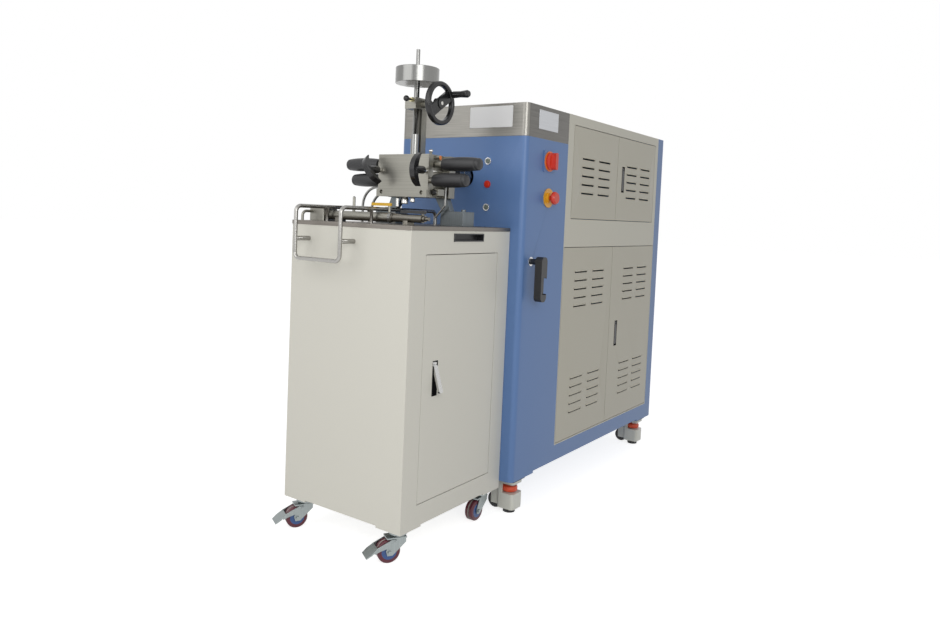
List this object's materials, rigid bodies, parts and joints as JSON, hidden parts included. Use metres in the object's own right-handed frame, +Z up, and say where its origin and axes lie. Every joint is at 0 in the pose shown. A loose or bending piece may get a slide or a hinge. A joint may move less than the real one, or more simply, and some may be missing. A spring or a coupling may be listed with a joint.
{
  "type": "torque rheometer",
  "caption": "Drive cabinet with louvred doors and a docked trolley that carries an internal mixer with a hand lowered ram.",
  "frame": {"origin": "on the floor under the middle of the cabinet's front panel", "axes": "+X towards the side with the doors, +Y from the front panel to the back, +Z up"},
  "size_m": [0.5478, 1.6145, 1.386],
  "materials": {
    "blue_paint": "semi gloss",
    "cream_paint": "semi gloss",
    "brushed_cap": "brushed",
    "steel": "ground",
    "bright_steel": "polished",
    "galvanised": "dull",
    "grey_paint": "semi gloss",
    "zinc": "zinc plated",
    "black_rubber": "matte",
    "black_plastic": "satin",
    "ivory_plastic": "satin",
    "red_plastic": "gloss",
    "orange_red": "gloss",
    "yellow_plastic": "gloss",
    "dark_plastic": "satin",
    "maroon_tread": "satin",
    "braid": "braided"
  },
  "bodies": {
    "cabinet": {"cabinet_shell": "blue_paint", "top_band": "brushed_cap", "cream_frame": "cream_paint", "drive_bed": "grey_paint", "drive_unit": "grey_paint", "panel_fittings": "bright_steel", "leveller_housings": "ivory_plastic"},
    "trolley": {"trolley_body": "cream_paint", "trolley_top": "steel", "guard_rails": "bright_steel", "cylinder": "steel", "mixer_stand": "galvanised", "mixer_rear": "steel", "ram_column": "steel", "hoses": "braid"},
    "start_button": {"start_button": "black_plastic"},
    "stop_button": {"stop_button": "red_plastic"},
    "reset_button": {"reset_button": "black_plastic"},
    "main_switch": {"main_switch": "red_plastic"},
    "emergency_stop": {"emergency_stop": "red_plastic"},
    "docking_lever": {"docking_lever": "black_plastic"},
    "upper_front_door": {"upper_front_door": "cream_paint"},
    "upper_rear_door": {"upper_rear_door": "cream_paint"},
    "lower_front_door": {"lower_front_door": "cream_paint"},
    "lower_rear_door": {"lower_rear_door": "cream_paint"},
    "upper_lock_lever": {"upper_lock_lever": "black_plastic"},
    "lower_lock_lever": {"lower_lock_lever": "black_plastic"},
    "drive_shaft": {"drive_shaft": "steel"},
    "trolley_door": {"trolley_door": "cream_paint"},
    "trolley_lock_lever": {"trolley_lock_lever": "black_plastic"},
    "left_bow_handle": {"left_bow_handle": "black_plastic"},
    "right_bow_handle": {"right_bow_handle": "black_plastic"},
    "left_rotor": {"left_rotor": "steel"},
    "right_rotor": {"right_rotor": "steel"},
    "ram_rod": {"ram_rod": "steel"},
    "handwheel": {"handwheel": "black_plastic"},
    "crank_grip": {"crank_grip": "black_plastic"},
    "lock_knob": {"lock_knob": "black_plastic"},
    "mixing_chamber": {"mixing_chamber": "steel", "chamber_grips": "black_rubber"},
    "front_plate": {"front_plate": "steel", "front_grip": "black_rubber"},
    "leveller_wheel_front_left": {"leveller_wheel_front_left": "black_rubber"},
    "leveller_foot_front_left": {"leveller_foot_front_left": "orange_red"},
    "leveller_wheel_front_right": {"leveller_wheel_front_right": "black_rubber"},
    "leveller_foot_front_right": {"leveller_foot_front_right": "orange_red"},
    "leveller_wheel_rear_left": {"leveller_wheel_rear_left": "black_rubber"},
    "leveller_foot_rear_left": {"leveller_foot_rear_left": "orange_red"},
    "leveller_wheel_rear_right": {"leveller_wheel_rear_right": "black_rubber"},
    "leveller_foot_rear_right": {"leveller_foot_rear_right": "orange_red"},
    "caster_fork_front_left": {"caster_fork_front_left": "zinc"},
    "caster_wheel_front_left": {"caster_wheel_front_left": "maroon_tread"},
    "caster_fork_front_right": {"caster_fork_front_right": "zinc"},
    "caster_wheel_front_right": {"caster_wheel_front_right": "maroon_tread"},
    "caster_fork_rear_left": {"caster_fork_rear_left": "zinc"},
    "caster_wheel_rear_left": {"caster_wheel_rear_left": "maroon_tread"},
    "caster_fork_rear_right": {"caster_fork_rear_right": "zinc"},
    "caster_wheel_rear_right": {"caster_wheel_rear_right": "maroon_tread"},
    "brake_pedal_front_left": {"brake_pedal_front_left": "zinc"},
    "brake_pedal_front_right": {"brake_pedal_front_right": "zinc"}
  },
  "joints": [
    {"name": "trolley_undock", "type": "slide", "parent": "cabinet", "child": "trolley", "axis": [0, -1, 0], "range_m": [0, 0.6]},
    {"name": "start_button_press", "type": "slide", "parent": "cabinet", "child": "start_button", "axis": [0, 1, 0], "range_m": [0, 0.003], "stiffness_N_per_m": 400},
    {"name": "stop_button_press", "type": "slide", "parent": "cabinet", "child": "stop_button", "axis": [0, 1, 0], "range_m": [0, 0.003], "stiffness_N_per_m": 400},
    {"name": "reset_button_press", "type": "slide", "parent": "cabinet", "child": "reset_button", "axis": [0, 1, 0], "range_m": [0, 0.003], "stiffness_N_per_m": 400},
    {"name": "emergency_stop_press", "type": "slide", "parent": "cabinet", "child": "emergency_stop", "axis": [-1, 0, 0], "range_m": [0, 0.005]},
    {"name": "main_switch_turn", "type": "hinge", "parent": "cabinet", "child": "main_switch", "pos_m": [0.247, 0.137, 1.093], "axis": [1, 0, 0], "range_deg": [0, 90]},
    {"name": "docking_lever_turn", "type": "hinge", "parent": "cabinet", "child": "docking_lever", "pos_m": [0.244, 0.052, 0.784], "axis": [1, 0, 0], "range_deg": [0, 90]},
    {"name": "upper_front_door_swing", "type": "hinge", "parent": "cabinet", "child": "upper_front_door", "pos_m": [0.237, 0.307, 1.072], "axis": [0, 0, -1], "range_deg": [0, 110]},
    {"name": "upper_rear_door_swing", "type": "hinge", "parent": "cabinet", "child": "upper_rear_door", "pos_m": [0.237, 1.004, 1.072], "axis": [0, 0, 1], "range_deg": [0, 110]},
    {"name": "lower_front_door_swing", "type": "hinge", "parent": "cabinet", "child": "lower_front_door", "pos_m": [0.237, 0.271, 0.5], "axis": [0, 0, -1], "range_deg": [0, 110]},
    {"name": "lower_rear_door_swing", "type": "hinge", "parent": "cabinet", "child": "lower_rear_door", "pos_m": [0.237, 1.03, 0.5], "axis": [0, 0, 1], "range_deg": [0, 110]},
    {"name": "upper_lock_swing", "type": "hinge", "parent": "upper_rear_door", "child": "upper_lock_lever", "pos_m": [0.234, 0.706, 1.1115], "axis": [0, -1, 0], "range_deg": [0, 65]},
    {"name": "lower_lock_swing", "type": "hinge", "parent": "lower_rear_door", "child": "lower_lock_lever", "pos_m": [0.234, 0.708, 0.5375], "axis": [0, -1, 0], "range_deg": [0, 65]},
    {"name": "drive_spin", "type": "hinge", "parent": "cabinet", "child": "drive_shaft", "pos_m": [0.021, 0, 1.036], "axis": [0, 1, 0], "continuous": true},
    {"name": "leveller_wheel_spin_front_left", "type": "hinge", "parent": "cabinet", "child": "leveller_wheel_front_left", "pos_m": [-0.151, 0.062, 0.027], "axis": [0, 1, 0], "continuous": true},
    {"name": "leveller_foot_turn_front_left", "type": "hinge", "parent": "cabinet", "child": "leveller_foot_front_left", "pos_m": [-0.199, 0.062, 0], "axis": [0, 0, 1], "continuous": true},
    {"name": "leveller_wheel_spin_front_right", "type": "hinge", "parent": "cabinet", "child": "leveller_wheel_front_right", "pos_m": [0.151, 0.062, 0.027], "axis": [0, 1, 0], "continuous": true},
    {"name": "leveller_foot_turn_front_right", "type": "hinge", "parent": "cabinet", "child": "leveller_foot_front_right", "pos_m": [0.199, 0.062, 0], "axis": [0, 0, 1], "continuous": true},
    {"name": "leveller_wheel_spin_rear_left", "type": "hinge", "parent": "cabinet", "child": "leveller_wheel_rear_left", "pos_m": [-0.151, 1.03, 0.027], "axis": [0, 1, 0], "continuous": true},
    {"name": "leveller_foot_turn_rear_left", "type": "hinge", "parent": "cabinet", "child": "leveller_foot_rear_left", "pos_m": [-0.199, 1.03, 0], "axis": [0, 0, 1], "continuous": true},
    {"name": "leveller_wheel_spin_rear_right", "type": "hinge", "parent": "cabinet", "child": "leveller_wheel_rear_right", "pos_m": [0.151, 1.03, 0.027], "axis": [0, 1, 0], "continuous": true},
    {"name": "leveller_foot_turn_rear_right", "type": "hinge", "parent": "cabinet", "child": "leveller_foot_rear_right", "pos_m": [0.199, 1.03, 0], "axis": [0, 0, 1], "continuous": true},
    {"name": "trolley_door_swing", "type": "hinge", "parent": "trolley", "child": "trolley_door", "pos_m": [0.193, -0.07, 0.48], "axis": [0, 0, 1], "range_deg": [0, 110]},
    {"name": "trolley_lock_swing", "type": "hinge", "parent": "trolley_door", "child": "trolley_lock_lever", "pos_m": [0.19, -0.346, 0.5185], "axis": [0, -1, 0], "range_deg": [-18, 50]},
    {"name": "caster_swivel_front_left", "type": "hinge", "parent": "trolley", "child": "caster_fork_front_left", "pos_m": [-0.195, -0.424, 0], "axis": [0, 0, 1], "continuous": true},
    {"name": "caster_spin_front_left", "type": "hinge", "parent": "caster_fork_front_left", "child": "caster_wheel_front_left", "pos_m": [-0.20721, -0.44696, 0.031], "axis": [0.8829, -0.4695, 0], "continuous": true},
    {"name": "brake_press_front_left", "type": "hinge", "parent": "caster_fork_front_left", "child": "brake_pedal_front_left", "pos_m": [-0.20157, -0.43636, 0.058], "axis": [0.8829, -0.4695, 0], "range_deg": [0, 6]},
    {"name": "caster_swivel_front_right", "type": "hinge", "parent": "trolley", "child": "caster_fork_front_right", "pos_m": [0.155, -0.424, 0], "axis": [0, 0, 1], "continuous": true},
    {"name": "caster_spin_front_right", "type": "hinge", "parent": "caster_fork_front_right", "child": "caster_wheel_front_right", "pos_m": [0.14122, -0.44605, 0.031], "axis": [0.848, -0.5299, 0], "continuous": true},
    {"name": "brake_press_front_right", "type": "hinge", "parent": "caster_fork_front_right", "child": "brake_pedal_front_right", "pos_m": [0.14758, -0.43587, 0.058], "axis": [0.848, -0.5299, 0], "range_deg": [0, 6]},
    {"name": "caster_swivel_rear_left", "type": "hinge", "parent": "trolley", "child": "caster_fork_rear_left", "pos_m": [-0.195, -0.043, 0], "axis": [0, 0, 1], "continuous": true},
    {"name": "caster_spin_rear_left", "type": "hinge", "parent": "caster_fork_rear_left", "child": "caster_wheel_rear_left", "pos_m": [-0.19772, -0.06886, 0.031], "axis": [0.9945, -0.1045, 0], "continuous": true},
    {"name": "caster_swivel_rear_right", "type": "hinge", "parent": "trolley", "child": "caster_fork_rear_right", "pos_m": [0.155, -0.043, 0], "axis": [0, 0, 1], "continuous": true},
    {"name": "caster_spin_rear_right", "type": "hinge", "parent": "caster_fork_rear_right", "child": "caster_wheel_rear_right", "pos_m": [0.155, -0.069, 0.031], "axis": [1, 0, 0], "continuous": true},
    {"name": "chamber_draw", "type": "slide", "parent": "trolley", "child": "mixing_chamber", "axis": [0, -1, 0], "range_m": [0, 0.08]},
    {"name": "front_plate_draw", "type": "slide", "parent": "mixing_chamber", "child": "front_plate", "axis": [0, -1, 0], "range_m": [0, 0.06]},
    {"name": "left_bow_turn", "type": "hinge", "parent": "front_plate", "child": "left_bow_handle", "pos_m": [-0.084, -0.275, 1.036], "axis": [0, -1, 0], "continuous": true},
    {"name": "right_bow_turn", "type": "hinge", "parent": "front_plate", "child": "right_bow_handle", "pos_m": [0.084, -0.275, 1.036], "axis": [0, -1, 0], "continuous": true},
    {"name": "left_rotor_spin", "type": "hinge", "parent": "trolley", "child": "left_rotor", "pos_m": [-0.021, -0.23, 1.036], "axis": [0, 1, 0], "continuous": true},
    {"name": "right_rotor_spin", "type": "hinge", "parent": "trolley", "child": "right_rotor", "pos_m": [0.021, -0.23, 1.036], "axis": [0, 1, 0], "continuous": true},
    {"name": "ram_lower", "type": "slide", "parent": "trolley", "child": "ram_rod", "axis": [0, 0, 1], "range_m": [-0.014, 0.07]},
    {"name": "handwheel_turn", "type": "hinge", "parent": "trolley", "child": "handwheel", "pos_m": [0.074, -0.21025, 1.231], "axis": [-1, 0, 0], "range_deg": [-81, 402]},
    {"name": "crank_grip_spin", "type": "hinge", "parent": "handwheel", "child": "crank_grip", "pos_m": [0.11, -0.16548, 1.2612], "axis": [1, 0, 0], "continuous": true},
    {"name": "ram_lock_turn", "type": "hinge", "parent": "trolley", "child": "lock_knob", "pos_m": [0, -0.246, 1.24], "axis": [0, -1, 0], "range_deg": [0, 180]}
  ],
  "couplings": [
    {"joint": "right_rotor_spin", "follows": "drive_spin", "ratio": 1},
    {"joint": "left_rotor_spin", "follows": "drive_spin", "ratio": -0.66667},
    {"joint": "handwheel_turn", "follows": "ram_lower", "rad_per_m": 100}
  ]
}
